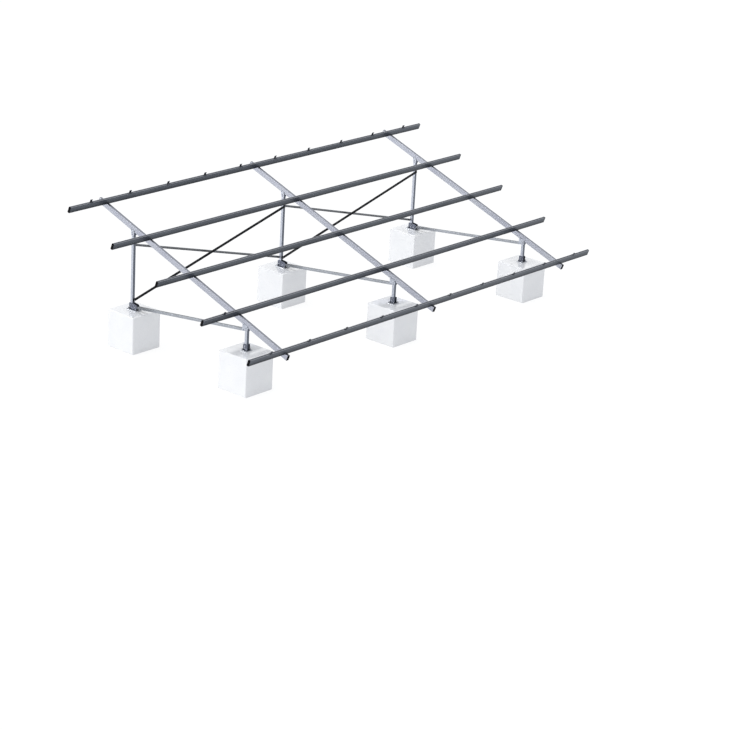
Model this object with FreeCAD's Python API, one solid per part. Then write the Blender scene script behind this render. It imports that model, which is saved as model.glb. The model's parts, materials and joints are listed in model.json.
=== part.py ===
import FreeCAD, Part
import math
import os

# Solar panel ground mount, in millimetres.
# Five tilted rails lie on three rafters. Each rafter stands on a short front post and a
# tall rear post, and every post has its own concrete pier.
# X runs along the rails, Y goes up the slope to the rear, Z is up. The origin lies on the
# ground under the middle of the frame.

# Overall layout
TILT = 19.9                     # slope of the rafters, degrees
FRAME_COUNT = 3                 # rafters, side by side along X
FRAME_SPACING = 4144.0
RAIL_COUNT = 5
RAIL_PITCH = 1261.0             # along the slope
LEFT_OVERHANG = 989.0           # rail past the middle of the left rafter
RIGHT_OVERHANG = 903.0          # rail past the middle of the right rafter
FRONT_OVERHANG = 55.0           # rafter in front of the lowest rail
REAR_OVERHANG = 178.0           # rafter behind the highest rail
FRONT_EDGE_HEIGHT = 193.0       # top corner of a rafter's lower end above the pier tops
FRONT_SETBACK = 1053.0          # front post centre behind that corner, level
POST_SPACING = 3030.0           # front post centre to rear post centre

# Concrete piers
PIER_SIDE = 714.0
PIER_HEIGHT = 748.0
PIER_CHAMFER = 12.0

# Rail: extruded box with a slot for clamp bolts along its top
RAIL_WIDTH = 46.0
RAIL_HEIGHT = 120.0
RAIL_WALL = 3.0
RAIL_RADIUS = 1.5
SLOT_MOUTH = 14.0
SLOT_DEPTH = 12.0               # clear height of the slot under its lips
RAIL_WEB = 2.5                  # cross wall inside the hollow
RAIL_WEB_HEIGHT = 50.0          # underside of that wall above the rail's underside

# Rafter, posts and braces: rectangular tube of one width, so that one bracket fits all
TUBE_WIDTH = 60.0
RAFTER_DEPTH = 105.0
RAFTER_WALL = 3.0
POST_DEPTH = 60.0
POST_WALL = 4.0
BRACE_DEPTH = 50.0
BRACE_WALL = 3.0
TUBE_RADIUS = 5.0
HEAD_GAP = 3.0                  # post top to rafter underside

# Base plates and brackets
PLATE_WIDTH = 170.0
PLATE_MARGIN = 24.0             # base plate past each end of its shoe
PLATE_THICKNESS = 15.0
PLATE_RADIUS = 10.0
BOLT_HOLE = 16.0
BOLT_EDGE = 26.0                # anchor hole centre from the plate's edges
CHEEK = 6.0                     # thickness of every bracket plate
FIT = 0.3                       # clearance of a tube between two cheeks
CHEEK_RADIUS = 14.0
FOOT_HALF_LENGTH = 54.0         # front foot cheeks, each way from the post centre
FOOT_HEIGHT = 116.0             # cheek height above the base plate
REAR_FOOT_REACH = 150.0         # rear foot cheeks in front of the post centre
REAR_FOOT_TIP_HEIGHT = 100.0    # cheek height at that front end
REAR_FOOT_SHOULDER = 52.0       # where the cheek's top edge starts to fall
HEAD_HALF_LENGTH = 34.0         # head cheeks at their lower edge
HEAD_TOP_HALF_LENGTH = 52.0     # head cheeks along the rafter
HEAD_POST_LAP = 84.0            # head cheeks below the rafter's underside
HEAD_RAFTER_LAP = 32.0          # head cheeks above the rafter's underside
HEAD_BRACE_REACH = 92.0         # front head cheeks behind the post centre, round the brace
HEAD_BRACE_MARGIN = 5.0         # cheek below the brace there

# Frame brace, from each rear foot to the head of the front post
BRACE_FOOT_HEIGHT = 30.0        # brace axis above the base plate, where the rear post's axis is
BRACE_HEAD_DROP = 60.0          # brace axis under the rafter's underside, at the front post's axis
BRACE_POST_GAP = 6.0            # end of a brace to the face of its post

# Cross braces between the rear posts: lipped channel
CHANNEL_WIDTH = 44.0
CHANNEL_DEPTH = 21.0
CHANNEL_WALL = 2.5
CHANNEL_LIP = 7.0
CHANNEL_FOOT_GAP = 55.0         # brace axis above the rear feet, at its low end
CHANNEL_HEAD_DROP = 279.0       # brace axis under the rafter's underside, at its high end
CHANNEL_END = 14.0              # channel past the post's centre line

# Rail cleats: angles behind the rails, on the rafters
CLEAT_WIDTH = 48.0
CLEAT_FOOT = 52.0
CLEAT_UPRIGHT = 74.0
CLEAT_WALL = 5.0

# Module clamps on the lowest and the highest rail
CLAMP_PITCH = 1012.0            # one module's width and the gap between two
CLAMP_LENGTH = 56.0
CLAMP_HEIGHT = 50.0
CLAMP_WALL = 4.0
CLAMP_LIP = 15.0
CLAMP_MARGIN = 3.0              # clamp in from the rail's edges

# End caps of rails and rafters
RAIL_CAP_THICKNESS = 14.0
RAFTER_CAP_THICKNESS = 6.0
CAP_PLUG = 22.0
CAP_FIT = 0.3

# Values that follow
SLOPE = math.radians(TILT)
COS = math.cos(SLOPE)
SIN = math.sin(SLOPE)
TAN = math.tan(SLOPE)
RAFTER_LENGTH = FRONT_OVERHANG + (RAIL_COUNT - 1) * RAIL_PITCH + RAIL_WIDTH + REAR_OVERHANG
RAIL_LENGTH = (FRAME_COUNT - 1) * FRAME_SPACING + LEFT_OVERHANG + RIGHT_OVERHANG
CLAMP_COUNT = int(RAIL_LENGTH // CLAMP_PITCH)
SLOPE_Y = -(RAFTER_LENGTH * COS + RAFTER_DEPTH * SIN) / 2
SLOPE_Z = PIER_HEIGHT + FRONT_EDGE_HEIGHT
FRONT_Y = SLOPE_Y + FRONT_SETBACK
REAR_Y = FRONT_Y + POST_SPACING
FOOT_Z = PIER_HEIGHT + PLATE_THICKNESS
CHEEK_X = TUBE_WIDTH / 2 + FIT
FRAME_X = [LEFT_OVERHANG - RAIL_LENGTH / 2 + i * FRAME_SPACING for i in range(FRAME_COUNT)]
FRAME_NAMES = ["left", "middle", "right"]
if FRAME_COUNT != len(FRAME_NAMES):
    FRAME_NAMES = ["frame_%d" % (i + 1) for i in range(FRAME_COUNT)]
# Posts: name, level place, and the reach of the shoe in front of the post
FEET = (("front", FRONT_Y, FOOT_HALF_LENGTH), ("rear", REAR_Y, REAR_FOOT_REACH))

Vec = FreeCAD.Vector
SLOPE_PLACE = FreeCAD.Placement(Vec(0, SLOPE_Y, SLOPE_Z), FreeCAD.Rotation(Vec(1, 0, 0), TILT))


def rounded_wire(points, radii):
    """Closed wire through points, with an arc of the given radius at each corner."""
    if not isinstance(radii, (list, tuple)):
        radii = [radii] * len(points)
    spans = []
    for i, corner in enumerate(points):
        before = (points[i - 1] - corner).normalize()
        after = (points[(i + 1) % len(points)] - corner).normalize()
        half = before.getAngle(after) / 2
        if radii[i] == 0:
            spans.append((corner, None, corner))
            continue
        cut = radii[i] / math.tan(half)
        middle = (before + after).normalize() * (radii[i] / math.sin(half) - radii[i])
        spans.append((corner + before * cut, corner + middle, corner + after * cut))
    edges = []
    for i, (start, middle, end) in enumerate(spans):
        if middle is not None:
            edges.append(Part.Arc(start, middle, end).toShape())
        following = spans[(i + 1) % len(spans)][0]
        if (following - end).Length > 1e-6:
            edges.append(Part.LineSegment(end, following).toShape())
    return Part.Wire(edges)


def section(pairs, axis, radii=0):
    """Flat face from coordinate pairs: (y, z) for axis x, (x, z) for axis y, (x, y) for axis z."""
    place = {
        "x": lambda a, b: Vec(0, a, b),
        "y": lambda a, b: Vec(a, 0, b),
        "z": lambda a, b: Vec(a, b, 0),
    }[axis]
    return Part.Face(rounded_wire([place(a, b) for a, b in pairs], radii))


def rectangle(a0, b0, a1, b1):
    return [(a0, b0), (a1, b0), (a1, b1), (a0, b1)]


def tube_section(width, depth, wall, axis, radius):
    """Hollow rectangular section centred on its axis."""
    outer = section(rectangle(-width / 2, -depth / 2, width / 2, depth / 2), axis, radius)
    inner_radius = max(radius - wall, 0.5)
    half_w = width / 2 - wall
    half_d = depth / 2 - wall
    return outer.cut(section(rectangle(-half_w, -half_d, half_w, half_d), axis, inner_radius))


def below_plane(point, angle):
    """Big block under a plane through point, tilted by angle about X."""
    size = 2 * RAFTER_LENGTH
    block = Part.makeBox(size, size, size, Vec(-size / 2, -size / 2, -size))
    block.Placement = FreeCAD.Placement(point, FreeCAD.Rotation(Vec(1, 0, 0), angle))
    return block


def on_slope(shape):
    """Move a shape from slope coordinates (x, up the slope, out of the slope) to its place."""
    moved = shape.copy()
    moved.Placement = SLOPE_PLACE.multiply(moved.Placement)
    return moved


def at(shape, x, y, z):
    moved = shape.copy()
    moved.translate(Vec(x, y, z))
    return moved


def rafter_underside(y):
    """Height of the rafters' underside at a level distance y."""
    return SLOPE_Z + (y - SLOPE_Y) * TAN - RAFTER_DEPTH / COS


def rail_start(index):
    """Front edge of a rail along the slope, the lowest rail being 0."""
    return FRONT_OVERHANG + index * RAIL_PITCH


# Concrete pier

def pier():
    half = PIER_SIDE / 2
    block = Part.makeBox(PIER_SIDE, PIER_SIDE, PIER_HEIGHT, Vec(-half, -half, 0))
    edges = [e for e in block.Edges if e.BoundBox.ZMax > PIER_CHAMFER]
    return block.makeChamfer(PIER_CHAMFER, edges)


# Foot: base plate and shoe

def foot_middle(y, reach):
    """Middle of a shoe, which its base plate and its pier share."""
    return y + (FOOT_HALF_LENGTH - reach) / 2


def base_plate(reach):
    half_w = PLATE_WIDTH / 2
    half_l = (FOOT_HALF_LENGTH + reach) / 2 + PLATE_MARGIN
    plate = section(rectangle(-half_w, -half_l, half_w, half_l), "z", PLATE_RADIUS)
    plate = plate.extrude(Vec(0, 0, PLATE_THICKNESS))
    for x in (BOLT_EDGE - half_w, half_w - BOLT_EDGE):
        for y in (BOLT_EDGE - half_l, half_l - BOLT_EDGE):
            plate = plate.cut(Part.makeCylinder(BOLT_HOLE / 2, PLATE_THICKNESS, Vec(x, y, 0)))
    return plate


def cheek_pair(outline, radii):
    """Two equal bracket plates, one on each side of a tube, from an outline in (y, z)."""
    plate = section(outline, "x", radii).extrude(Vec(CHEEK, 0, 0))
    return [at(plate, CHEEK_X, 0, 0), at(plate, -CHEEK_X - CHEEK, 0, 0)]


def shoe(outline, radii):
    """Upright channel: two cheeks on a floor, which the post stands on."""
    low = min(y for y, z in outline)
    high = max(y for y, z in outline)
    floor = Part.makeBox(2 * CHEEK_X, high - low, CHEEK, Vec(-CHEEK_X, low, 0))
    return floor.fuse(cheek_pair(outline, radii)).removeSplitter()


def front_shoe():
    half = FOOT_HALF_LENGTH
    return shoe(rectangle(-half, 0, half, FOOT_HEIGHT), [0, 0, CHEEK_RADIUS, CHEEK_RADIUS])


def rear_shoe():
    outline = [
        (-REAR_FOOT_REACH, 0),
        (FOOT_HALF_LENGTH, 0),
        (FOOT_HALF_LENGTH, FOOT_HEIGHT),
        (-REAR_FOOT_SHOULDER, FOOT_HEIGHT),
        (-REAR_FOOT_REACH, REAR_FOOT_TIP_HEIGHT),
    ]
    return shoe(outline, [0, 0, CHEEK_RADIUS, CHEEK_RADIUS, CHEEK_RADIUS])


# Posts, with their tops cut to the slope of the rafters

def post(y):
    top = rafter_underside(y) - HEAD_GAP / COS
    bottom = FOOT_Z + CHEEK
    length = top + POST_DEPTH - bottom
    tube = tube_section(TUBE_WIDTH, POST_DEPTH, POST_WALL, "z", TUBE_RADIUS).extrude(Vec(0, 0, length))
    tube = at(tube, 0, y, bottom)
    return tube.common(below_plane(Vec(0, y, top), TILT))


# Head brackets

def head_bracket(y, brace_side):
    """Cheeks that hold a rafter on its post, and at the front post the brace's end too."""
    rise = HEAD_RAFTER_LAP / COS
    low = rafter_underside(y) - HEAD_POST_LAP
    front_top = -HEAD_TOP_HALF_LENGTH
    rear_top = HEAD_BRACE_REACH if brace_side else HEAD_TOP_HALF_LENGTH
    outline = [(y - HEAD_HALF_LENGTH, low), (y + HEAD_HALF_LENGTH, low)]
    if brace_side:
        edge = brace_height(y + rear_top) - BRACE_DEPTH / 2 - HEAD_BRACE_MARGIN
        outline.append((y + rear_top, edge))
    outline.append((y + rear_top, rafter_underside(y + rear_top) + rise))
    outline.append((y + front_top, rafter_underside(y + front_top) + rise))
    return cheek_pair(outline, CHEEK_RADIUS)


# Frame brace between a rear foot and the head of its front post

def brace_height(y):
    """Height of the frame brace's axis at a level distance y."""
    head = rafter_underside(FRONT_Y) - BRACE_HEAD_DROP
    foot = FOOT_Z + BRACE_FOOT_HEIGHT
    return head + (foot - head) * (y - FRONT_Y) / POST_SPACING


def frame_brace():
    start = FRONT_Y + POST_DEPTH / 2 + BRACE_POST_GAP
    end = REAR_Y - POST_DEPTH / 2 - BRACE_POST_GAP
    angle = math.degrees(math.atan2(brace_height(end) - brace_height(start), end - start))
    spare = BRACE_DEPTH
    length = math.hypot(end - start, brace_height(end) - brace_height(start)) + 2 * spare
    tube = tube_section(TUBE_WIDTH, BRACE_DEPTH, BRACE_WALL, "y", TUBE_RADIUS).extrude(Vec(0, length, 0))
    tube = at(tube, 0, -spare, 0)
    tube.Placement = FreeCAD.Placement(
        Vec(0, start, brace_height(start)), FreeCAD.Rotation(Vec(1, 0, 0), angle)
    ).multiply(tube.Placement)
    height = PIER_HEIGHT + RAFTER_LENGTH
    room = Part.makeBox(TUBE_WIDTH, end - start, height, Vec(-TUBE_WIDTH / 2, start, 0))
    return tube.common(room)


# Rafter, in slope coordinates: its top face lies in the plane that carries the rails

def rafter():
    tube = tube_section(TUBE_WIDTH, RAFTER_DEPTH, RAFTER_WALL, "y", TUBE_RADIUS)
    return at(tube.extrude(Vec(0, RAFTER_LENGTH, 0)), 0, 0, -RAFTER_DEPTH / 2)


def rafter_cap(start, outward):
    """Plate with a plug inside the tube, at the end of a rafter."""
    half = TUBE_WIDTH / 2
    plate = section(rectangle(-half, -RAFTER_DEPTH, half, 0), "y", TUBE_RADIUS)
    plate = plate.extrude(Vec(0, outward * RAFTER_CAP_THICKNESS, 0))
    inset = RAFTER_WALL + CAP_FIT
    plug_outline = rectangle(inset - half, inset - RAFTER_DEPTH, half - inset, -inset)
    plug = section(plug_outline, "y", TUBE_RADIUS / 2).extrude(Vec(0, -outward * CAP_PLUG, 0))
    return at(plate.fuse(plug), 0, start, 0)


# Rail, in slope coordinates

def rail_profile():
    """Section of the rail in (slope, normal), its lower front corner at the origin."""
    middle = RAIL_WIDTH / 2
    lip_under = RAIL_HEIGHT - RAIL_WALL
    slot_floor = lip_under - SLOT_DEPTH
    inner = RAIL_WIDTH - RAIL_WALL
    outline = [
        (0, 0), (RAIL_WIDTH, 0), (RAIL_WIDTH, RAIL_HEIGHT),
        (middle + SLOT_MOUTH / 2, RAIL_HEIGHT), (middle + SLOT_MOUTH / 2, lip_under),
        (inner, lip_under), (inner, slot_floor), (RAIL_WALL, slot_floor), (RAIL_WALL, lip_under),
        (middle - SLOT_MOUTH / 2, lip_under), (middle - SLOT_MOUTH / 2, RAIL_HEIGHT),
        (0, RAIL_HEIGHT),
    ]
    face = section(outline, "x", [RAIL_RADIUS] * 3 + [0] * 8 + [RAIL_RADIUS])
    for low, high in rail_hollows():
        face = face.cut(section(rectangle(RAIL_WALL, low, inner, high), "x", RAIL_RADIUS))
    return face


def rail_hollows():
    """Bottom and top of the two closed chambers under the slot."""
    web_top = RAIL_WEB_HEIGHT + RAIL_WEB
    return [(RAIL_WALL, RAIL_WEB_HEIGHT), (web_top, RAIL_HEIGHT - 2 * RAIL_WALL - SLOT_DEPTH)]


def rail(index):
    bar = rail_profile().extrude(Vec(RAIL_LENGTH, 0, 0))
    return at(bar, -RAIL_LENGTH / 2, rail_start(index), 0)


def rail_cap(index, outward):
    """Plate over a rail's end, with a plug in each closed chamber."""
    plate = section(rectangle(0, 0, RAIL_WIDTH, RAIL_HEIGHT), "x", RAIL_RADIUS)
    cap = plate.extrude(Vec(outward * RAIL_CAP_THICKNESS, 0, 0))
    side = RAIL_WALL + CAP_FIT
    for low, high in rail_hollows():
        plug = section(rectangle(side, low + CAP_FIT, RAIL_WIDTH - side, high - CAP_FIT), "x", RAIL_RADIUS)
        cap = cap.fuse(plug.extrude(Vec(-outward * CAP_PLUG, 0, 0)))
    return at(cap, outward * RAIL_LENGTH / 2, rail_start(index), 0)


# Cleats that hold the rails on the rafters

def rail_cleat(index, x):
    outline = [
        (0, 0), (CLEAT_FOOT, 0), (CLEAT_FOOT, CLEAT_WALL),
        (CLEAT_WALL, CLEAT_WALL), (CLEAT_WALL, CLEAT_UPRIGHT), (0, CLEAT_UPRIGHT),
    ]
    angle = section(outline, "x", [0, 0, CLEAT_WALL / 2, CLEAT_WALL, CLEAT_WALL / 2, 0])
    angle = angle.extrude(Vec(CLEAT_WIDTH, 0, 0))
    return at(angle, x - CLEAT_WIDTH / 2, rail_start(index) + RAIL_WIDTH, 0)


# Module clamps: hooked profiles that face each other across the slope

def module_clamp(index, x, facing):
    """Hook on a rail's top. It stands at one edge of the rail and opens in the facing direction."""
    foot = RAIL_WIDTH - 2 * CLAMP_MARGIN
    outline = [
        (0, 0), (foot, 0), (foot, CLAMP_WALL), (CLAMP_WALL, CLAMP_WALL),
        (CLAMP_WALL, CLAMP_HEIGHT - CLAMP_WALL), (CLAMP_LIP, CLAMP_HEIGHT - CLAMP_WALL),
        (CLAMP_LIP, CLAMP_HEIGHT), (0, CLAMP_HEIGHT),
    ]
    outline = [(facing * s, n) for s, n in outline]
    bend = CLAMP_WALL / 2
    hook = section(outline, "x", [bend, 0, 0, bend, bend, 0, 0, bend]).extrude(Vec(CLAMP_LENGTH, 0, 0))
    edge = CLAMP_MARGIN if facing > 0 else RAIL_WIDTH - CLAMP_MARGIN
    return at(hook, x - CLAMP_LENGTH / 2, rail_start(index) + edge, RAIL_HEIGHT)


def clamp_row(index, facing):
    first = -(CLAMP_COUNT - 1) / 2 * CLAMP_PITCH
    return [on_slope(module_clamp(index, first + i * CLAMP_PITCH, facing)) for i in range(CLAMP_COUNT)]


# Cross braces between neighbouring rear posts

def cross_brace(x0, x1, z0, z1, face):
    """Lipped channel from (x0, z0) to (x1, z1), open towards the posts, on their front or rear."""
    half = CHANNEL_WIDTH / 2
    wall = CHANNEL_WALL
    outline = [
        (0, -half), (0, half), (CHANNEL_DEPTH, half), (CHANNEL_DEPTH, half - CHANNEL_LIP),
        (CHANNEL_DEPTH - wall, half - CHANNEL_LIP), (CHANNEL_DEPTH - wall, half - wall),
        (wall, half - wall), (wall, wall - half), (CHANNEL_DEPTH - wall, wall - half),
        (CHANNEL_DEPTH - wall, CHANNEL_LIP - half), (CHANNEL_DEPTH, CHANNEL_LIP - half),
        (CHANNEL_DEPTH, -half),
    ]
    outline = [(face * depth, height) for depth, height in outline]
    rise = z1 - z0
    span = x1 - x0
    angle = math.degrees(math.atan2(rise, span))
    length = math.hypot(span, rise) + 2 * CHANNEL_END
    bar = at(section(outline, "x").extrude(Vec(length, 0, 0)), -CHANNEL_END, 0, 0)
    web_y = REAR_Y - face * (POST_DEPTH / 2 + CHANNEL_DEPTH)
    bar.Placement = FreeCAD.Placement(
        Vec(x0, web_y, z0), FreeCAD.Rotation(Vec(0, 1, 0), -angle)
    ).multiply(bar.Placement)
    return bar


def write(name, shapes):
    """Write one sub-part: a solid, or several solids that don't touch."""
    solids = [solid for shape in shapes for solid in shape.Solids]
    shape = solids[0] if len(solids) == 1 else Part.makeCompound(solids)
    shape.exportStep("parts/" + name + ".step")


os.makedirs("parts", exist_ok=True)

for frame, x in zip(FRAME_NAMES, FRAME_X):
    for side, y, reach in FEET:
        label = side + "_" + frame
        write("pier_" + label, [at(pier(), x, foot_middle(y, reach), 0)])
        write("shoe_" + label, [at(front_shoe() if side == "front" else rear_shoe(), x, y, FOOT_Z)])
        write("post_" + label, [at(post(y), x, 0, 0)])
        write("head_bracket_" + label, [at(c, x, 0, 0) for c in head_bracket(y, side == "front")])
    write("rafter_" + frame, [on_slope(at(rafter(), x, 0, 0))])
    write("frame_brace_" + frame, [at(frame_brace(), x, 0, 0)])

write("base_plates", [
    at(base_plate(reach), x, foot_middle(y, reach), PIER_HEIGHT)
    for x in FRAME_X for side, y, reach in FEET
])

for i in range(RAIL_COUNT):
    write("rail_%d" % (i + 1), [on_slope(rail(i))])

write("rail_cleats", [on_slope(rail_cleat(i, x)) for i in range(RAIL_COUNT) for x in FRAME_X])
# The second rail has a single clamp, above its left end
write("module_clamps_lower", clamp_row(0, 1) + clamp_row(1, 1)[:1])
write("module_clamps_upper", clamp_row(RAIL_COUNT - 1, -1))
write("rail_end_caps", [on_slope(rail_cap(i, end)) for i in range(RAIL_COUNT) for end in (-1, 1)])
write("rafter_end_caps", [
    on_slope(at(rafter_cap(start, outward), x, 0, 0))
    for x in FRAME_X for start, outward in ((0, -1), (RAFTER_LENGTH, 1))
])

for bay in range(FRAME_COUNT - 1):
    low = FOOT_Z + FOOT_HEIGHT + CHANNEL_FOOT_GAP
    high = rafter_underside(REAR_Y) - CHANNEL_HEAD_DROP
    name = "cross_brace_" + FRAME_NAMES[bay] + "_bay_"
    write(name + "rising", [cross_brace(FRAME_X[bay], FRAME_X[bay + 1], low, high, 1)])
    write(name + "falling", [cross_brace(FRAME_X[bay], FRAME_X[bay + 1], high, low, -1)])
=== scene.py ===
# %% [markdown]
# # A ground mount for solar modules
# The frame carries solar modules in a field. Five slotted rails lie across three sloping
# rafters. Each rafter stands on a short front post and a tall rear post, a brace ties the
# two together, and crossed braces stiffen the row of rear posts. Every post is bolted to a
# concrete pier.
#
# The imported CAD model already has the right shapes, so this lesson gives each of them its
# finish. Then it models what the CAD model leaves out: the bolts, nuts and welds.

# %% Load the CAD model
import json
import math
import random

import bmesh
import bpy
from mathutils import Matrix, Vector


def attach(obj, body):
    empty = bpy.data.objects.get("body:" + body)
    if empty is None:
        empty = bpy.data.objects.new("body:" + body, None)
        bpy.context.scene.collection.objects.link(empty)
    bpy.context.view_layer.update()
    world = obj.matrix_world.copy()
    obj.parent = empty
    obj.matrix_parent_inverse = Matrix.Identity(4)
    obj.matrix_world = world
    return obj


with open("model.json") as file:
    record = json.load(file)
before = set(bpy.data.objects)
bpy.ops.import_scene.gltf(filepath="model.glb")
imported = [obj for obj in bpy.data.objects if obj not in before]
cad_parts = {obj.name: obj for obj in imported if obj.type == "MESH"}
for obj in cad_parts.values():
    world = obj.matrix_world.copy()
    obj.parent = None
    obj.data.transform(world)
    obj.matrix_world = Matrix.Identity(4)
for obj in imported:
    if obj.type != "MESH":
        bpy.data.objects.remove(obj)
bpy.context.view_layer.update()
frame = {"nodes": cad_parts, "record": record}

NODES = frame["nodes"]

# %% [markdown]
# ## Two ways to say where something is
# Everything is in metres. X runs along the rails, Y goes up the slope to the rear and Z is
# up. What sits on the slope is easier to place with three other numbers: x, the distance up
# the slope, and the distance out of it. One helper turns those into a place in the world.

# %% Places on the slope
TILT = math.radians(19.9)
SLOPE_START = Vector((0.0, -2.520447, 0.941))
UPHILL = Vector((0.0, math.cos(TILT), math.sin(TILT)))
OUTWARD = Vector((0.0, -math.sin(TILT), math.cos(TILT)))
ALONG = Vector((1.0, 0.0, 0.0))
UP = Vector((0.0, 0.0, 1.0))
REARWARD = Vector((0.0, 1.0, 0.0))


def on_slope(x, uphill, outward):
    """A point x along the rails, uphill from the rafters' lower ends, outward from their tops."""
    return SLOPE_START + ALONG * x + UPHILL * uphill + OUTWARD * outward


FRAME_X = (-4.101, 0.043, 4.187)
FRONT_Y = -1.467447
REAR_Y = 1.562553
PLATE_TOP = 0.763
RAFTER_DEPTH = 0.105
RAIL_WIDTH = 0.046
RAIL_HEIGHT = 0.12
RAIL_STARTS = [0.055 + 1.261 * i for i in range(5)]
print("rail tops start at", [round(on_slope(0, s, RAIL_HEIGHT).z, 3) for s in RAIL_STARTS])

# %% [markdown]
# ## Two helpers for every material
# A colour is written as an sRGB hex value, as a paint chart gives it, and Blender wants it
# linear. The second helper adds one node, sets it up and links it, which keeps each
# material short enough to read as a recipe. Object coordinates are in metres, so a texture's
# scale is the number of its cells in a metre, and each is worked out from a real size.

# %% Colour and node helpers


def paint(code, alpha=1.0):
    """An sRGB hex colour as the linear colour that a socket takes."""
    parts = [int(code[i:i + 2], 16) / 255 for i in (1, 3, 5)]
    linear = [c / 12.92 if c <= 0.04045 else ((c + 0.055) / 1.055) ** 2.4 for c in parts]
    return (*linear, alpha)


def add_node(tree, kind, settings=None, **sockets):
    """Add a node. A socket is given by its name, with _ for a space, or as in_0, in_1 ..."""
    node = tree.nodes.new(kind)
    for name, value in (settings or {}).items():
        setattr(node, name, value)
    for name, value in sockets.items():
        key = int(name[3:]) if name.startswith("in_") else name.replace("_", " ")
        if isinstance(value, bpy.types.NodeSocket):
            tree.links.new(value, node.inputs[key])
        else:
            node.inputs[key].default_value = value
    return node


def new_finish(name):
    """A material with an empty tree, its shader, and the object's own coordinates."""
    finish = bpy.data.materials.new(name)
    finish.use_nodes = True
    tree = finish.node_tree
    tree.nodes.clear()
    shader = add_node(tree, "ShaderNodeBsdfPrincipled")
    output = add_node(tree, "ShaderNodeOutputMaterial")
    tree.links.new(shader.outputs["BSDF"], output.inputs["Surface"])
    where = add_node(tree, "ShaderNodeTexCoord")
    return finish, tree, shader, where


print("paint chart test, mid grey:", [round(c, 3) for c in paint("#808080")])

# %% [markdown]
# ## Cast concrete
# The piers are cast in a smooth steel form and sealed with a clear gloss sealer. The cement
# skin is pale and slightly cloudy, small air bubbles leave pores, and the sealer mirrors the
# frame above it at a flat angle. A noise gives the clouds, a Voronoi texture the pores, and
# the shader's coat is the sealer. A clear sealer has an IOR of about 1.5, and it is matched
# at 2.2 here, because these piers mirror the frame as clearly as wet stone.

# %% Concrete finish
CLOUDS_PER_METRE = 3.2  # clouds of cement are about 0.3 m across
SAND_PER_METRE = 160.0  # 6 mm, coarser than real sand, so that it shows
PORES_PER_METRE = 34.0  # a pore every 30 mm, 3 to 8 mm wide

concrete, tree, shader, where = new_finish("sealed_cast_concrete")
clouds = add_node(tree, "ShaderNodeTexNoise", Vector=where.outputs["Object"],
                  Scale=CLOUDS_PER_METRE, Detail=5.0)
sand = add_node(tree, "ShaderNodeTexNoise", Vector=where.outputs["Object"],
                Scale=SAND_PER_METRE, Detail=3.0)
pores = add_node(tree, "ShaderNodeTexVoronoi", Vector=where.outputs["Object"], Scale=PORES_PER_METRE)
pore_edge = add_node(tree, "ShaderNodeMapRange", in_0=pores.outputs["Distance"], in_1=0.05, in_2=0.13)
tone = add_node(tree, "ShaderNodeMix", {"data_type": "RGBA"}, in_0=clouds.outputs["Fac"],
                in_6=paint("#E3E4E6"), in_7=paint("#F0F0EF"))
grain = add_node(tree, "ShaderNodeMapRange", in_0=sand.outputs["Fac"], in_1=0.3, in_2=0.7,
                 in_3=0.96, in_4=1.02)
grained = add_node(tree, "ShaderNodeMix", {"data_type": "RGBA", "blend_type": "MULTIPLY"}, in_0=1.0,
                   in_6=tone.outputs[2], in_7=grain.outputs[0])
# the pores' darker colour is painted shade in their hollows
colour = add_node(tree, "ShaderNodeMix", {"data_type": "RGBA"}, in_0=pore_edge.outputs[0],
                  in_6=paint("#B9BABC"), in_7=grained.outputs[2])
relief = add_node(tree, "ShaderNodeMix", {"data_type": "FLOAT"}, in_0=0.25,
                  in_2=pore_edge.outputs[0], in_3=sand.outputs["Fac"])
bump = add_node(tree, "ShaderNodeBump", Strength=0.05, Distance=0.002, Height=relief.outputs[0])
rough = add_node(tree, "ShaderNodeMapRange", in_0=clouds.outputs["Fac"], in_3=0.45, in_4=0.6)
tree.links.new(colour.outputs[2], shader.inputs["Base Color"])
tree.links.new(rough.outputs[0], shader.inputs["Roughness"])
tree.links.new(bump.outputs[0], shader.inputs["Normal"])
shader.inputs["Coat Weight"].default_value = 1.0
shader.inputs["Coat Roughness"].default_value = 0.04
shader.inputs["Coat IOR"].default_value = 2.2
print("concrete:", concrete.name)

# %% [markdown]
# ## Zinc on steel
# Posts, plates and braces are hot-dip galvanised. Zinc freezes in leaf-shaped crystals about
# 10 mm wide, each a little lighter or rougher than its neighbour, and dulls with the weather.
# A Voronoi texture gives the crystals. The same recipe serves five pieces that differ in
# shade, so it is one function. Posts and shoes are darker on their front faces, which is
# painted shade, and the frame braces are darker near the rear feet, also painted shade.

# %% Galvanised finishes
CRYSTALS_PER_METRE = 95.0  # 10.5 mm each
WEATHER_PER_METRE = 5.0  # patches of about 0.2 m
SHADE_FROM, SHADE_TO = 0.75, 0.35  # metres before the rear end, where the braces' painted shade starts and where it is full


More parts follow.
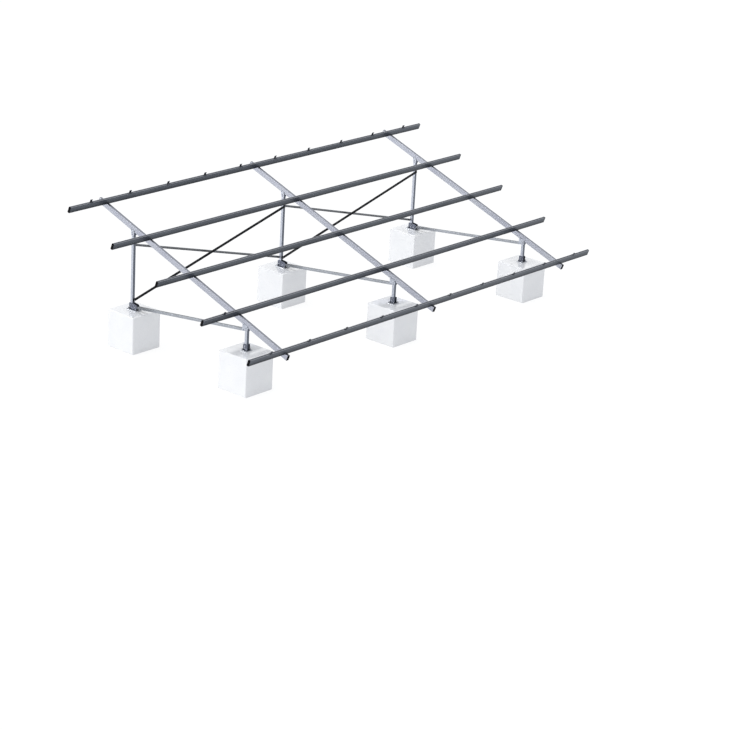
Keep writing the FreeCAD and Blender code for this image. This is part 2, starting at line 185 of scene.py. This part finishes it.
def galvanised(name, light, dark, roughness, front_shade=None, shaded_end=None):
    """Zinc with crystals in two shades and a slow change of shade along the piece.

    A darker colour on faces turned to the front is painted shade, and so is the darkening
    of the last part towards a given place on Y.
    """
    finish, tree, shader, where = new_finish(name)
    crystals = add_node(tree, "ShaderNodeTexVoronoi", Vector=where.outputs["Object"],
                        Scale=CRYSTALS_PER_METRE)
    shade = add_node(tree, "ShaderNodeSeparateColor", Color=crystals.outputs["Color"])
    weather = add_node(tree, "ShaderNodeTexNoise", Vector=where.outputs["Object"],
                       Scale=WEATHER_PER_METRE, Detail=4.0)
    mixed = add_node(tree, "ShaderNodeMath", {"operation": "MULTIPLY_ADD"}, in_0=shade.outputs[0],
                     in_1=0.35, in_2=weather.outputs["Fac"])
    amount = add_node(tree, "ShaderNodeMapRange", in_0=mixed.outputs[0], in_1=0.35, in_2=1.0)
    colour = add_node(tree, "ShaderNodeMix", {"data_type": "RGBA"}, in_0=amount.outputs[0],
                      in_6=paint(dark), in_7=paint(light))
    if front_shade:
        facing = add_node(tree, "ShaderNodeSeparateXYZ", Vector=where.outputs["Normal"])
        forward = add_node(tree, "ShaderNodeMapRange", in_0=facing.outputs[1], in_1=-0.5, in_2=-0.85,
                           in_3=0.0, in_4=0.85)
        colour = add_node(tree, "ShaderNodeMix", {"data_type": "RGBA"}, in_0=forward.outputs[0],
                          in_6=colour.outputs[2], in_7=paint(front_shade))
    if shaded_end is not None:
        place = add_node(tree, "ShaderNodeSeparateXYZ", Vector=where.outputs["Object"])
        rear_shade = add_node(tree, "ShaderNodeMapRange", in_0=place.outputs[1],
                        in_1=shaded_end - SHADE_FROM, in_2=shaded_end - SHADE_TO, in_3=1.0, in_4=0.5)
        colour = add_node(tree, "ShaderNodeMix", {"data_type": "RGBA", "blend_type": "MULTIPLY"},
                          in_0=1.0, in_6=colour.outputs[2], in_7=rear_shade.outputs[0])
    rough = add_node(tree, "ShaderNodeMapRange", in_0=shade.outputs[1], in_3=roughness - 0.05,
                     in_4=roughness + 0.08)
    bump = add_node(tree, "ShaderNodeBump", Strength=0.08, Distance=0.0006, Height=shade.outputs[2])
    tree.links.new(colour.outputs[2], shader.inputs["Base Color"])
    tree.links.new(rough.outputs[0], shader.inputs["Roughness"])
    tree.links.new(bump.outputs[0], shader.inputs["Normal"])
    shader.inputs["Metallic"].default_value = 1.0
    return finish


# the last colour of the posts and shoes is painted shade on their front faces
post_zinc = galvanised("galvanised_post_steel", "#B0B4BE", "#A2A7B1", 0.46, "#5A606C")
plate_zinc = galvanised("galvanised_plate_steel", "#B4B7BC", "#9DA0A6", 0.38)
# this brace is painted darker towards the rear feet, as shade
brace_zinc = galvanised("galvanised_frame_brace", "#9CA0A7", "#8C9096", 0.46, shaded_end=REAR_Y)
cross_zinc = galvanised("weathered_galvanised_cross_brace", "#8A8D91", "#74777B", 0.46)
shoe_zinc = galvanised("dark_galvanised_shoe", "#6A6E7A", "#585C68", 0.5, "#363A42")
print("zinc finishes:", [m.name for m in (post_zinc, plate_zinc, brace_zinc, cross_zinc, shoe_zinc)])

# %% [markdown]
# ## Extruded aluminium
# Rails and rafters are pressed through a die, which draws fine straight lines along their
# whole length. A noise that is stretched along the piece gives these lines. Faces that point
# up take another tone, which is painted light: darker on the rafters as painted shade, lighter
# on the rails and clamps as a painted highlight, and the surface's own direction tells where
# that is. The rails also darken towards their undersides, which is painted shade.

# %% Aluminium finishes
DIE_LINES_PER_METRE = 260.0  # 4 mm apart, coarser than real die lines, so that they show
LINE_LENGTHS_PER_METRE = 1.2  # each runs on for about 0.8 m
HAZE_PER_METRE = 2.4  # patches of about 0.4 m


def extruded(name, light, dark, top_tone, top_tone_amount, roughness, along=0, underside_shade=None):
    """Aluminium with die lines along x (0) or up the slope (1), in coordinates turned to the slope.

    A share given for the underside darkens the colour towards a rail's underside, as painted shade.
    """
    finish, tree, shader, where = new_finish(name)
    stretch = [DIE_LINES_PER_METRE] * 3
    stretch[along] = LINE_LENGTHS_PER_METRE
    turned = add_node(tree, "ShaderNodeMapping", Vector=where.outputs["Object"],
                      Rotation=(-TILT, 0.0, 0.0))
    drawn = add_node(tree, "ShaderNodeMapping", Vector=turned.outputs[0], Scale=stretch)
    lines = add_node(tree, "ShaderNodeTexNoise", Vector=drawn.outputs[0], Scale=1.0, Detail=2.0)
    haze = add_node(tree, "ShaderNodeTexNoise", Vector=where.outputs["Object"],
                    Scale=HAZE_PER_METRE, Detail=4.0)
    mixed = add_node(tree, "ShaderNodeMath", {"operation": "MULTIPLY_ADD"}, in_0=lines.outputs["Fac"],
                     in_1=0.4, in_2=haze.outputs["Fac"])
    amount = add_node(tree, "ShaderNodeMapRange", in_0=mixed.outputs[0], in_1=0.45, in_2=0.95)
    metal = add_node(tree, "ShaderNodeMix", {"data_type": "RGBA"}, in_0=amount.outputs[0],
                     in_6=paint(dark), in_7=paint(light))
    if underside_shade is not None:
        height = add_node(tree, "ShaderNodeSeparateXYZ", Vector=turned.outputs[0])
        base = SLOPE_START.dot(OUTWARD)
        shade_to_underside = add_node(tree, "ShaderNodeMapRange", {"interpolation_type": "SMOOTHSTEP"},
                          in_0=height.outputs[2], in_1=base, in_2=base + 0.8 * RAIL_HEIGHT,
                          in_3=underside_shade, in_4=1.0)
        metal = add_node(tree, "ShaderNodeMix", {"data_type": "RGBA", "blend_type": "MULTIPLY"},
                         in_0=1.0, in_6=metal.outputs[2], in_7=shade_to_underside.outputs[0])
    facing = add_node(tree, "ShaderNodeSeparateXYZ", Vector=where.outputs["Normal"])
    upward = add_node(tree, "ShaderNodeMapRange", in_0=facing.outputs[2], in_1=0.55, in_2=0.9,
                      in_3=0.0, in_4=top_tone_amount)
    colour = add_node(tree, "ShaderNodeMix", {"data_type": "RGBA"}, in_0=upward.outputs[0],
                      in_6=metal.outputs[2], in_7=paint(top_tone))
    rough = add_node(tree, "ShaderNodeMapRange", in_0=haze.outputs["Fac"], in_3=roughness - 0.05,
                     in_4=roughness + 0.07)
    bump = add_node(tree, "ShaderNodeBump", Strength=0.1, Distance=0.0004, Height=lines.outputs["Fac"])
    tree.links.new(colour.outputs[2], shader.inputs["Base Color"])
    tree.links.new(rough.outputs[0], shader.inputs["Roughness"])
    tree.links.new(bump.outputs[0], shader.inputs["Normal"])
    shader.inputs["Metallic"].default_value = 1.0
    return finish


# the third colour is for faces that point up: painted shade on rafters, a painted highlight on rails and
# clamps
rafter_metal = extruded("mill_finish_aluminium_rafter", "#A6A9B1", "#9A9DA9", "#858891", 0.9, 0.46,
                        along=1)
# the rail's last number is the share of painted shade at its underside
rail_metal = extruded("grey_anodised_aluminium_rail", "#60656D", "#545961", "#94979E", 0.8, 0.4,
                      underside_shade=0.38)
clamp_metal = extruded("dark_anodised_aluminium_clamp", "#40444C", "#32363E", "#4A4D54", 0.6, 0.36)
print("aluminium finishes:", [m.name for m in (rafter_metal, rail_metal, clamp_metal)])

# %% [markdown]
# ## Black parts
# The rising cross braces get a black plastic skin, slightly pebbled like fine orange peel, as
# powder coat on steel has; their black is painted shade, for they are the same braces as the
# grey falling ones. The end caps are moulded polypropylene, which is softer and duller.
# Both are plastics, so they are not metallic and their IOR is 1.5. Their gloss is lower than
# its usual 0.5, because dust lies on them, and a small bump breaks the highlight.

# %% Black finishes
DUST_PER_METRE = 9.0  # patches of about 0.1 m


def black_skin(name, light, dark, roughness, pebbles_per_metre, depth, gloss):
    """A dull black plastic surface with fine pebbles of this depth, and thin dust."""
    finish, tree, shader, where = new_finish(name)
    peel = add_node(tree, "ShaderNodeTexNoise", Vector=where.outputs["Object"],
                    Scale=pebbles_per_metre, Detail=2.0)
    dust = add_node(tree, "ShaderNodeTexNoise", Vector=where.outputs["Object"],
                    Scale=DUST_PER_METRE, Detail=5.0)
    colour = add_node(tree, "ShaderNodeMix", {"data_type": "RGBA"}, in_0=dust.outputs["Fac"],
                      in_6=paint(dark), in_7=paint(light))
    rough = add_node(tree, "ShaderNodeMapRange", in_0=dust.outputs["Fac"], in_3=roughness - 0.08,
                     in_4=roughness + 0.1)
    bump = add_node(tree, "ShaderNodeBump", Strength=0.25, Distance=depth, Height=peel.outputs["Fac"])
    tree.links.new(colour.outputs[2], shader.inputs["Base Color"])
    tree.links.new(rough.outputs[0], shader.inputs["Roughness"])
    tree.links.new(bump.outputs[0], shader.inputs["Normal"])
    shader.inputs["IOR"].default_value = 1.5
    shader.inputs["Specular IOR Level"].default_value = gloss
    return finish


# the rising braces' black is painted shade on the same braces as the grey falling ones
shaded_brace_black = black_skin("black_brace_painted_shade", "#17181C", "#0E0F12", 0.62, 420.0, 0.0004, 0.16)
cap_black = black_skin("black_moulded_end_cap", "#101013", "#08080A", 0.85, 700.0, 0.0003, 0.08)
print("black finishes:", shaded_brace_black.name, cap_black.name)

# %% [markdown]
# ## Dress the CAD model
# Every CAD node keeps its mesh and place and only takes a finish. The record gives each node
# a material slot, so a table from slot to finish dresses them all. Only the falling cross
# braces differ from their slot: they are an older, greyer galvanised channel. The rising ones
# keep the black of their slot, which is painted shade.

# %% Give each node its finish
FINISH_OF_SLOT = {
    "concrete": concrete,
    "plate_steel": plate_zinc,
    "bracket_steel": shoe_zinc,
    "post_steel": post_zinc,
    "rafter_aluminium": rafter_metal,
    "rail_aluminium": rail_metal,
    "clamp_aluminium": clamp_metal,
    "brace_steel": brace_zinc,
    # the rising cross braces' black is painted shade
    "dark_brace": shaded_brace_black,
    "end_cap": cap_black,
}
SLOT_OF_NODE = {s["node"]: s["material_slot"] for s in frame["record"]["subparts"]}
for name, node in NODES.items():
    finish = cross_zinc if name.endswith("_bay_falling") else FINISH_OF_SLOT[SLOT_OF_NODE[name]]
    if not node.data.materials:
        node.data.materials.append(finish)
    for slot in node.material_slots:
        slot.material = finish
print("dressed:", len(NODES), "nodes in", len(set(SLOT_OF_NODE.values())), "finishes")

# %% [markdown]
# ## Bolts, nuts and washers
# The frame is bolted together with hexagon bolts, nuts and washers. Each size is modelled once
# on the ground, and copied to its seats. Three helpers serve all of it. The first deselects
# everything, because an operator acts on all that is selected. The second selects faces by
# their place or direction, as a click would. The third joins pieces and leaves the result at
# the origin with its place in its mesh, as the CAD model's own pieces have it.

# %% Helpers for modelling by hand


def begin():
    """Leave edit mode and deselect all, so that the next operator acts on the new piece alone."""
    if bpy.context.object and bpy.context.object.mode != "OBJECT":
        bpy.ops.object.mode_set(mode="OBJECT")
    bpy.ops.object.select_all(action="DESELECT")


def pick(piece, test):
    """In edit mode, select only the faces whose middle and normal pass the test."""
    bpy.ops.mesh.select_mode(type="FACE")
    bpy.ops.mesh.select_all(action="DESELECT")
    mesh = bmesh.from_edit_mesh(piece.data)
    for face in mesh.faces:
        face.select_set(test(face.calc_center_median(), face.normal))
    bmesh.update_edit_mesh(piece.data)


def join(pieces, name):
    """Join pieces to one, with its place in its mesh."""
    begin()
    for piece in pieces:
        piece.select_set(True)
    bpy.context.view_layer.objects.active = pieces[0]
    bpy.ops.object.join()
    bpy.ops.object.transform_apply(location=True, rotation=True, scale=True)
    pieces[0].name = name
    return pieces[0]


print("helpers ready, in", bpy.context.mode, "mode")

# %% [markdown]
# A real head is forged as a hexagon and then turned, which takes its six corners off in a
# shallow cone. Bevels on twelve small edges could imitate it, but cutting the hexagon with
# a round blank that is bevelled at its rim gives exactly that turned cone.

# %% A hexagon, for heads and nuts
ACROSS_FLATS = {8: 0.013, 10: 0.016, 12: 0.018, 14: 0.021}
THREAD_PITCH = {10: 0.0015, 12: 0.00175, 14: 0.002}


def hexagon(across, low, high, both_ends):
    """A hexagon whose corners are turned off at its top, or at both ends."""
    corner = across / math.sqrt(3)
    middle = (0.0, 0.0, (low + high) / 2)
    begin()
    bpy.ops.mesh.primitive_cylinder_add(vertices=6, radius=corner, depth=high - low, location=middle)
    head = bpy.context.object
    begin()
    bpy.ops.mesh.primitive_cylinder_add(vertices=48, radius=0.99 * corner, depth=high - low,
                                        location=middle)
    blank = bpy.context.object
    bpy.ops.object.mode_set(mode="EDIT")
    pick(blank, lambda centre, normal: normal.z > 0.9 or (both_ends and normal.z < -0.9))
    bpy.ops.mesh.bevel(offset=0.9 * (corner - across / 2), segments=1, affect="EDGES")
    begin()
    cut = head.modifiers.new("turned_corners", "BOOLEAN")
    cut.operation = "INTERSECT"
    cut.object = blank
    bpy.context.view_layer.objects.active = head
    bpy.ops.object.modifier_apply(modifier=cut.name)
    bpy.data.objects.remove(blank)
    return head


test_head = hexagon(ACROSS_FLATS[10], 0.0, 0.0064, both_ends=False)
print("M10 head, in mm:", [round(1000 * d, 1) for d in test_head.dimensions])
bpy.data.objects.remove(test_head)

# %% [markdown]
# A washer is punched from sheet, so it is a disc with a bore: both ends of a cylinder are
# inset, and bridging the two inner faces opens the hole. On a bolt's end the thread's ridges
# are extruded in half pitches, wide and narrow in turn. They are rings and no helix, which no
# eye tells apart at this size, and they need far fewer faces.

# %% Washers and threads


def washer(size):
    """A flat washer for a bolt of this size, lying on the ground, and its thickness."""
    thickness = 0.0002 * size
    begin()
    bpy.ops.mesh.primitive_cylinder_add(vertices=32, radius=0.001 * size, depth=thickness,
                                        location=(0.0, 0.0, thickness / 2))
    disc = bpy.context.object
    bpy.ops.object.mode_set(mode="EDIT")
    pick(disc, lambda centre, normal: abs(normal.z) > 0.9)
    bpy.ops.mesh.inset(thickness=0.00047 * size)
    bpy.ops.mesh.bridge_edge_loops()
    begin()
    return disc, thickness


def threaded_end(size, low, reach):
    """The end of a bolt with its thread's ridges, from height low."""
    pitch = THREAD_PITCH[size]
    begin()
    bpy.ops.mesh.primitive_cylinder_add(vertices=20, radius=0.0005 * size, depth=pitch,
                                        location=(0.0, 0.0, low + pitch / 2))
    shank = bpy.context.object
    bpy.ops.object.mode_set(mode="EDIT")
    root = 1.0 - 1.1 * pitch / (0.001 * size)  # a thread is 0.55 of its pitch deep, on both sides
    for step in range(int(2 * reach / pitch)):
        pick(shank, lambda centre, normal: normal.z > 0.9 and centre.z > pitch * (step + 0.9) / 2)
        bpy.ops.mesh.extrude_region_move(TRANSFORM_OT_translate={"value": (0.0, 0.0, pitch / 2)})
        share = root if step % 2 == 0 else 1 / root
        bpy.ops.transform.resize(value=(share, share, 1.0))
    bpy.ops.mesh.extrude_region_move(TRANSFORM_OT_translate={"value": (0.0, 0.0, pitch / 2)})
    bpy.ops.transform.resize(value=(0.8, 0.8, 1.0))
    begin()
    return shank


test_disc, test_thickness = washer(10)
print("M10 washer:", 1000 * test_thickness, "mm thick,", len(test_disc.data.polygons), "faces")
bpy.data.objects.remove(test_disc)

# %% [markdown]
# Every joint shows a bolt's head on one side and a nut on the other. So there are two patterns
# for each size: a washer with a head, and a washer with a nut and the bolt's end.

# %% Patterns of heads and nuts


def bolt_head(size):
    """A washer with a bolt's head, 0.64 of its size high."""
    disc, seat = washer(size)
    head = hexagon(ACROSS_FLATS[size], seat, seat + 0.00064 * size, both_ends=False)
    return join([disc, head], f"pattern_head_m{size}")


def bolt_nut(size, proud):
    """A washer and a nut, 0.8 of its size high, with the bolt's end this far proud of the nut."""
    disc, seat = washer(size)
    top = seat + 0.0008 * size
    nut = hexagon(ACROSS_FLATS[size], seat, top, both_ends=True)
    bpy.context.view_layer.objects.active = nut
    bpy.ops.object.mode_set(mode="EDIT")
    pick(nut, lambda centre, normal: normal.z > 0.9)
    thread_mouth = 0.0011 * size  # a nut's thread is opened to just over the bolt's size
    bpy.ops.mesh.inset(thickness=0.45 * (ACROSS_FLATS[size] - thread_mouth))
    bpy.ops.transform.translate(value=(0.0, 0.0, -THREAD_PITCH[size]))
    end = threaded_end(size, seat + 0.0003 * size, top - seat + proud)
    return join([disc, nut, end], f"pattern_nut_m{size}")


HEADS = {size: bolt_head(size) for size in (8, 10, 12)}
NUTS = {10: bolt_nut(10, 0.004), 12: bolt_nut(12, 0.005), 14: bolt_nut(14, 0.012)}
for pattern in (*HEADS.values(), *NUTS.values()):
    begin()
    pattern.select_set(True)
    bpy.context.view_layer.objects.active = pattern
    bpy.ops.object.shade_smooth_by_angle(angle=math.radians(30))
    print(pattern.name, "faces:", len(pattern.data.polygons))

# %% [markdown]
# ## Bright zinc on the bolts
# Bolts are electroplated, so their zinc is thin, smooth and brighter than the dipped zinc
# around it, with faint cloudy stains. A soft noise gives the stains and changes the roughness.

# %% Plated finish
STAINS_PER_METRE = 130.0  # 8 mm, so that one head differs from the next

plated, tree, shader, where = new_finish("zinc_plated_bolt")
stain = add_node(tree, "ShaderNodeTexNoise", Vector=where.outputs["Object"],
                 Scale=STAINS_PER_METRE, Detail=3.0)
colour = add_node(tree, "ShaderNodeMix", {"data_type": "RGBA"}, in_0=stain.outputs["Fac"],
                  in_6=paint("#8E9198"), in_7=paint("#B4B7BE"))
rough = add_node(tree, "ShaderNodeMapRange", in_0=stain.outputs["Fac"], in_3=0.26, in_4=0.42)
bump = add_node(tree, "ShaderNodeBump", Strength=0.06, Distance=0.0002, Height=stain.outputs["Fac"])
tree.links.new(colour.outputs[2], shader.inputs["Base Color"])
tree.links.new(rough.outputs[0], shader.inputs["Roughness"])
tree.links.new(bump.outputs[0], shader.inputs["Normal"])
shader.inputs["Metallic"].default_value = 1.0
print("bolts:", plated.name)

# %% [markdown]
# ## Put every bolt in its seat
# A seat is a point and the way it faces. Each copy is also turned about its own axis by
# chance, because nobody lines up the corners of bolts with a spanner. The chance is seeded
# with the piece's name, so that every run gives the same frame.

# %% Copy a pattern to its seats


def stand_at(pattern, name, seats):
    """Copies of a pattern, one on each seat, joined to one piece that rides on the frame."""
    chance = random.Random(name)
    copies = []
    for point, axis in seats:
        begin()
        pattern.select_set(True)
        bpy.context.view_layer.objects.active = pattern
        bpy.ops.object.duplicate(linked=False)
        copy = bpy.context.object
        facing = axis.to_track_quat("Z", "Y").to_matrix().to_4x4()
        spin = Matrix.Rotation(chance.uniform(0.0, math.tau), 4, "Z")
        copy.matrix_world = Matrix.Translation(point) @ facing @ spin
        copies.append(copy)
    piece = join(copies, name)
    piece.data.name = name
    piece.data.materials.clear()
    piece.data.materials.append(plated)
    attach(piece, "root")
    print(name, "-", len(seats), "seats,", len(piece.data.polygons), "faces")


print("ready to copy", len(HEADS) + len(NUTS), "patterns")

# %% [markdown]
# Four threaded anchors stand in every pier, one at each corner of the base plate. Bolts cross
# the post and the shoe's two cheeks at the foot. At the head they cross the bracket, the post,
# the rafter and, in front, the brace.

# %% Anchors and bracket bolts
ANCHOR_SIDE = 0.059  # from the post's axis, along X
PLATES = ((FRONT_Y, 0.052), (REAR_Y - 0.048, 0.1))  # a plate's middle and its anchors' reach, on Y
CHEEK_FACE = 0.0363  # a bracket's outer face, from the post's axis
FOOT_BOLT_HEIGHTS = (0.801, 0.847)
BRACE_FOOT_BOLT = (REAR_Y - 0.095, 0.804)
BRACE_HEAD_BOLT = (FRONT_Y + 0.064, 1.143)
POST_BOLT_DROPS = (0.03, 0.062)  # below the rafter's underside
RAFTER_BOLT_RISE = 0.017  # above it
RAFTER_BOLT_STEPS = {FRONT_Y: (-0.032, 0.06), REAR_Y: (-0.032, 0.032)}  # from the post, on Y


def rafter_underside(y):
    """The height of the rafters' undersides."""
    return SLOPE_START.z + (y - SLOPE_START.y) * math.tan(TILT) - RAFTER_DEPTH / math.cos(TILT)


anchors = [(Vector((x + side, y + end, PLATE_TOP)), UP) for x in FRAME_X
           for y, reach in PLATES
           for side in (-ANCHOR_SIDE, ANCHOR_SIDE) for end in (-reach, reach)]
stand_at(NUTS[14], "pier_anchor_nuts", anchors)

foot_holes = [(y, z) for y in (FRONT_Y, REAR_Y) for z in FOOT_BOLT_HEIGHTS] + [BRACE_FOOT_BOLT]
head_holes = [BRACE_HEAD_BOLT]
for y, steps in RAFTER_BOLT_STEPS.items():
    head_holes += [(y, rafter_underside(y) - drop) for drop in POST_BOLT_DROPS]
    head_holes += [(y + step, rafter_underside(y + step) + RAFTER_BOLT_RISE) for step in steps]
for place, size, holes in (("foot", 12, foot_holes), ("head", 10, head_holes)):
    for pattern, kind, way in ((HEADS, "bolts", -ALONG), (NUTS, "nuts", ALONG)):
        seats = [(Vector((x, y, z)) + way * CHEEK_FACE, way) for x in FRAME_X for y, z in holes]
        stand_at(pattern[size], f"{place}_bracket_{kind}", seats)

# %% [markdown]
# An angle cleat holds each rail on each rafter: one bolt goes down into the rafter and one
# through the cleat's upright into the rail. A single bolt presses each module clamp down.

# %% Cleat and clamp bolts
CLEAT_THICKNESS = 0.005
CLEAT_FOOT_BOLT = 0.076  # uphill from the rail's lower side
CLEAT_UPRIGHT, CLEAT_BOLT_HEIGHT = 0.051, 0.04  # its uphill face, and the bolt's height on it
FIRST_CLAMP, CLAMP_PITCH, CLAMP_COUNT = -4.554, 1.012, 10
CLAMP_WALL = 0.004

cleat_seats = []
for x in FRAME_X:
    for start in RAIL_STARTS:
        cleat_seats += [(on_slope(x, start + CLEAT_FOOT_BOLT, CLEAT_THICKNESS), OUTWARD),
                        (on_slope(x, start + CLEAT_UPRIGHT, CLEAT_BOLT_HEIGHT), UPHILL)]
stand_at(HEADS[10], "rail_cleat_bolts", cleat_seats)

clamp_places = [(rail, FIRST_CLAMP + CLAMP_PITCH * i) for rail in (0, 4) for i in range(CLAMP_COUNT)]
clamp_places += [(1, FIRST_CLAMP)]
clamp_seats = [(on_slope(x, RAIL_STARTS[rail] + RAIL_WIDTH / 2, RAIL_HEIGHT + CLAMP_WALL), OUTWARD)
               for rail, x in clamp_places]
stand_at(HEADS[8], "module_clamp_bolts", clamp_seats)

# %% [markdown]
# A long bolt through the rear post holds the ends of the crossed braces: the black ones lie on
# the post's front and the grey ones on its back. Where only one brace ends, the bolt's other
# side sits on the post itself.

# %% Cross-brace bolts
LOW_END, HIGH_END = 0.934, 2.0284
# the frames, counted from the left, and the heights at which a brace's end lies on the post
RISING = {(0, LOW_END), (1, HIGH_END), (1, LOW_END), (2, HIGH_END)}
FALLING = {(0, HIGH_END), (1, LOW_END), (1, HIGH_END), (2, LOW_END)}
POST_FACE, CHANNEL_FACE = 0.03, 0.051  # from the post's axis
for pattern, kind, way, braces in ((HEADS, "bolts", -REARWARD, RISING),
                                   (NUTS, "nuts", REARWARD, FALLING)):
    seats = []
    for i, x in enumerate(FRAME_X):
        for z in (LOW_END, HIGH_END):
            out = CHANNEL_FACE if (i, z) in braces else POST_FACE
            seats.append((Vector((x, REAR_Y, z)) + way * out, way))
    stand_at(pattern[10], f"cross_brace_{kind}", seats)

for pattern in (*HEADS.values(), *NUTS.values()):
    bpy.data.objects.remove(pattern)

# %% [markdown]
# ## Weld beads
# The shoes are welded to their base plates along both outer edges. A welder lays the bead in
# small overlapping ripples about 4 mm long. One ripple is a short barrel, extruded from a
# circle, and an Array modifier repeats it along the seam. The bead's centre is the corner
# itself, so a quarter of it shows, as a real fillet does.

# %% Weld beads
RIPPLE = 0.004
BEAD_RADIUS = 0.0045
WAIST = 0.86  # a bead's radius between two ripples, as a share
FRONT_SEAM, REAR_SEAM = (FRONT_Y - 0.054, 0.108), (REAR_Y - 0.15, 0.204)  # start on Y and length


def weld_bead(x, y, length):
    """A bead along Y on the base plate, from y over the length."""
    begin()
    bpy.ops.mesh.primitive_circle_add(vertices=14, radius=WAIST * BEAD_RADIUS, fill_type="NOTHING",
                                      location=(x, y, PLATE_TOP), rotation=(math.radians(-90), 0.0, 0.0))
    bead = bpy.context.object
    bpy.ops.object.transform_apply(location=True, rotation=True, scale=True)
    bpy.ops.object.mode_set(mode="EDIT")
    bpy.ops.mesh.select_all(action="SELECT")
    for share in (1 / WAIST, WAIST):
        bpy.ops.mesh.extrude_region_move(TRANSFORM_OT_translate={"value": (0.0, RIPPLE / 2, 0.0)})
        bpy.ops.transform.resize(value=(share, 1.0, share))
    begin()
    bpy.context.view_layer.objects.active = bead
    ripples = bead.modifiers.new("ripples", "ARRAY")
    ripples.use_relative_offset = False
    ripples.use_constant_offset = True
    ripples.constant_offset_displace = (0.0, RIPPLE, 0.0)
    ripples.count = int(length / RIPPLE)
    ripples.use_merge_vertices = True
    ripples.merge_threshold = 0.0001
    bpy.ops.object.modifier_apply(modifier=ripples.name)
    bpy.ops.object.mode_set(mode="EDIT")
    bpy.ops.mesh.select_all(action="SELECT")
    bpy.ops.mesh.fill_holes(sides=0)
    bpy.ops.mesh.normals_make_consistent(inside=False)
    begin()
    return bead


beads = [weld_bead(x + side, y, length) for x in FRAME_X for side in (-CHEEK_FACE, CHEEK_FACE)
         for y, length in (FRONT_SEAM, REAR_SEAM)]
welds = join(beads, "shoe_weld_beads")
bpy.ops.object.shade_smooth_by_angle(angle=math.radians(50))
welds.data.materials.append(shoe_zinc)
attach(welds, "root")
print("welds:", len(beads), "beads,", len(welds.data.polygons), "faces")

# %% [markdown]
# ## The studio
# The floor and the far background look white to the camera and in reflections, while the
# floor still takes the object's shadow. For the light that bounces off it, it is an
# ordinary pale floor. The Light Path node tells the two apart.

# %% Floor
bpy.ops.object.select_all(action="DESELECT")
bpy.ops.mesh.primitive_plane_add(size=400.0, location=(0.0, 0.0, 0.0))
floor = bpy.context.object
floor.name = "studio_floor"
floor_paint = bpy.data.materials.new("matt_white_floor")
floor_paint.use_nodes = True
tree = floor_paint.node_tree
tree.nodes.clear()
path = add_node(tree, "ShaderNodeLightPath")
seen = add_node(tree, "ShaderNodeMath", {"operation": "ADD", "use_clamp": True},
                in_0=path.outputs["Is Camera Ray"], in_1=path.outputs["Is Glossy Ray"])
seen = add_node(tree, "ShaderNodeMath", {"operation": "ADD", "use_clamp": True},
                in_0=seen.outputs[0], in_1=path.outputs["Is Transmission Ray"])
matt = add_node(tree, "ShaderNodeBsdfDiffuse", Color=paint("#E6E6E6"))
shadowed = add_node(tree, "ShaderNodeBsdfDiffuse", Color=paint("#6E6E6E"))
glow = add_node(tree, "ShaderNodeEmission", Color=(1.0, 1.0, 1.0, 1.0), Strength=0.86)
white = add_node(tree, "ShaderNodeAddShader", in_0=shadowed.outputs[0], in_1=glow.outputs[0])
ground = add_node(tree, "ShaderNodeMixShader", in_0=seen.outputs[0], in_1=matt.outputs[0],
                  in_2=white.outputs[0])
output = add_node(tree, "ShaderNodeOutputMaterial", Surface=ground.outputs[0])
floor.data.materials.append(floor_paint)
print("floor:", floor.name)

# %% [markdown]
# ## The light
# A pale dome lights everything evenly. Two very large, far softboxes give the form: one
# overhead brightens whatever faces up, and one low on the left, a little behind, brightens the
# left sides of piers, posts and rafters. A sun lamp with a wide angle is such a softbox, and
# it lights the whole 10 m row alike. Together they are kept at the level at which a colour
# renders about as it is written, so that the pale piers don't clip to white.

# %% Dome and softboxes
world = bpy.data.worlds.new("pale_dome")
bpy.context.scene.world = world
world.use_nodes = True
tree = world.node_tree
tree.nodes.clear()
path = add_node(tree, "ShaderNodeLightPath")
seen = add_node(tree, "ShaderNodeMath", {"operation": "ADD", "use_clamp": True},
                in_0=path.outputs["Is Camera Ray"], in_1=path.outputs["Is Glossy Ray"])
seen = add_node(tree, "ShaderNodeMath", {"operation": "ADD", "use_clamp": True},
                in_0=seen.outputs[0], in_1=path.outputs["Is Transmission Ray"])
lamp_dome = add_node(tree, "ShaderNodeBackground", Color=paint("#EEF2FA"), Strength=0.72)
white_dome = add_node(tree, "ShaderNodeBackground", Color=(1.0, 1.0, 1.0, 1.0), Strength=1.0)
dome = add_node(tree, "ShaderNodeMixShader", in_0=seen.outputs[0], in_1=lamp_dome.outputs[0],
                in_2=white_dome.outputs[0])
output = add_node(tree, "ShaderNodeOutputWorld", Surface=dome.outputs[0])


def softbox(name, direction, strength, spread):
    """A far softbox that shines from a direction, with its spread in degrees."""
    bpy.ops.object.light_add(type="SUN", location=Vector(direction) * 20)
    lamp = bpy.context.object
    lamp.name = name
    lamp.rotation_euler = Vector(direction).to_track_quat("Z", "Y").to_euler()
    lamp.data.energy = strength
    lamp.data.angle = math.radians(spread)
    return lamp


softbox("high_softbox", (-0.12, 0.1, 0.98), 1.6, 50.0)
softbox("low_left_softbox", (-0.76, 0.645, 0.06), 1.84, 25.0)

# %% [markdown]
# ## The camera
# The place, direction and focal length were solved from the photograph, by fitting the ends of
# rails, posts and piers. The camera looks from far to the left in front, slightly down.

# %% Camera
EYE = Vector((-32.99051, -28.66928, 15.24858))
RIGHT = Vector((0.6582801, -0.7509156, 0.0528495))
UPWARD = Vector((0.2285489, 0.2662592, 0.9364141))
BACK = RIGHT.cross(UPWARD)
turn = Matrix((RIGHT, UPWARD, BACK)).transposed()
bpy.ops.object.camera_add(location=EYE, rotation=turn.to_euler())
camera = bpy.context.object
camera.name = "photo_camera"
camera.data.sensor_width = 36.0
camera.data.lens = 113.4373
camera.data.clip_end = 500.0
bpy.context.scene.camera = camera
bpy.context.scene.view_settings.view_transform = "Standard"
print("camera at", [round(c, 2) for c in camera.location])
